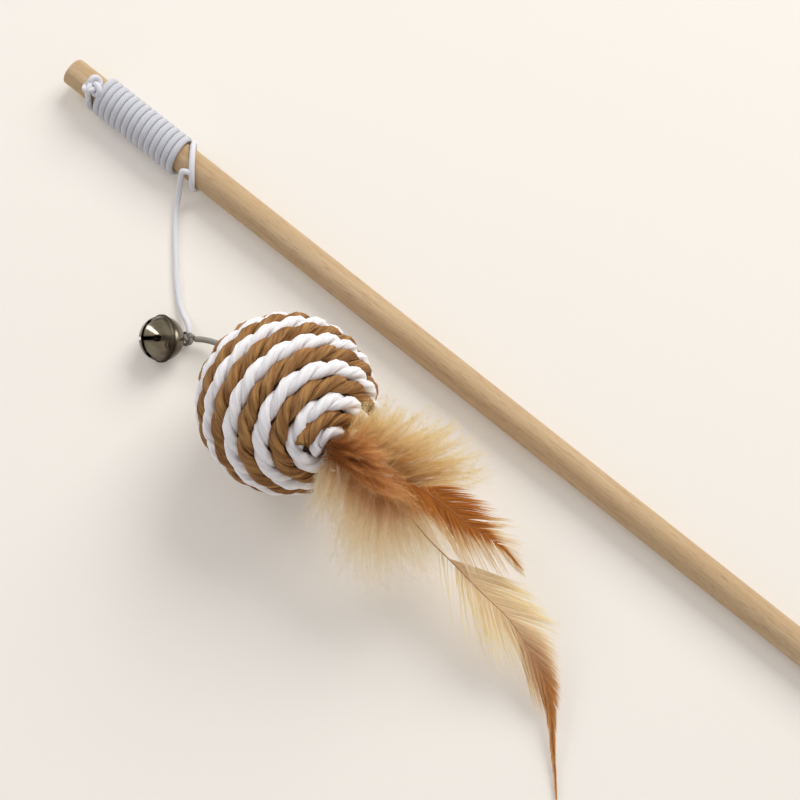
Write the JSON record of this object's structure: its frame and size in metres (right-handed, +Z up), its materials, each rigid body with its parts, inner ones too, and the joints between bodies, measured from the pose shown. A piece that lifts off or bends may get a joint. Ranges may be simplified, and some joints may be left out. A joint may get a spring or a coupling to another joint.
{
  "type": "cat teaser wand",
  "caption": "Wooden rod with an elastic cord wound at its tip, carrying a jingle bell and a rope-wound ball with a tuft of feathers",
  "frame": {"origin": "centre of the rod's butt end, on the rod's axis", "axes": "+X along the rod toward its tip, +Y toward the side where the lure lies, +Z up from the table"},
  "size_m": [0.4, 0.0755, 0.047],
  "materials": {
    "rod_wood": "matte",
    "elastic_cord": "matte",
    "bell_metal": "polished",
    "pellet_steel": "satin",
    "core_foam": "matte",
    "rope_white_paper": "matte",
    "rope_brown_paper": "matte",
    "plug_glue": "satin",
    "feather_tan": "matte",
    "feather_rust": "matte",
    "feather_down": "matte"
  },
  "bodies": {
    "wand": {"rod": "rod_wood", "cord_winding": "elastic_cord", "tip_knot": "elastic_cord", "cord_hitch": "elastic_cord"},
    "lead": {"cord_lead": "elastic_cord", "bell_knot": "elastic_cord"},
    "bell": {"bell_upper_shell": "bell_metal", "bell_lower_shell": "bell_metal", "bell_eye": "bell_metal"},
    "pellet": {"bell_pellet": "pellet_steel"},
    "link": {"cord_link": "elastic_cord", "ball_stop_knot": "elastic_cord"},
    "lure": {"ball_core": "core_foam", "rope_white": "rope_white_paper", "rope_brown": "rope_brown_paper", "feather_plug": "plug_glue", "feather_long": "feather_tan", "feather_short": "feather_rust", "plume_upper": "feather_down", "plume_lower": "feather_down", "plume_left": "feather_down", "plume_under": "feather_down", "plume_tuft": "feather_rust"}
  },
  "joints": [
    {"name": "lead_swing", "type": "hinge", "parent": "wand", "child": "lead", "pos_m": [0.3552, 0.0046, 0], "axis": [0, 0, 1], "range_deg": [-45, 3]},
    {"name": "bell_swing", "type": "hinge", "parent": "lead", "child": "bell", "pos_m": [0.32463, 0.03788, -0.0038], "axis": [0.6475, 0.1992, -0.7356], "range_deg": [-20, 5]},
    {"name": "pellet_slide", "type": "slide", "parent": "bell", "child": "pellet", "axis": [-0.4594, -0.6709, -0.5821], "range_m": [-0.0065, 0]},
    {"name": "lure_lift", "type": "hinge", "parent": "lead", "child": "link", "pos_m": [0.3234, 0.0375, -0.0024], "axis": [0, 1, 0], "range_deg": [0, 50]},
    {"name": "ball_twist", "type": "hinge", "parent": "link", "child": "lure", "pos_m": [0.286, 0.0395, 0.01815], "axis": [-0.8178, 0.2024, 0.5388], "range_deg": [-25, 25]}
  ]
}
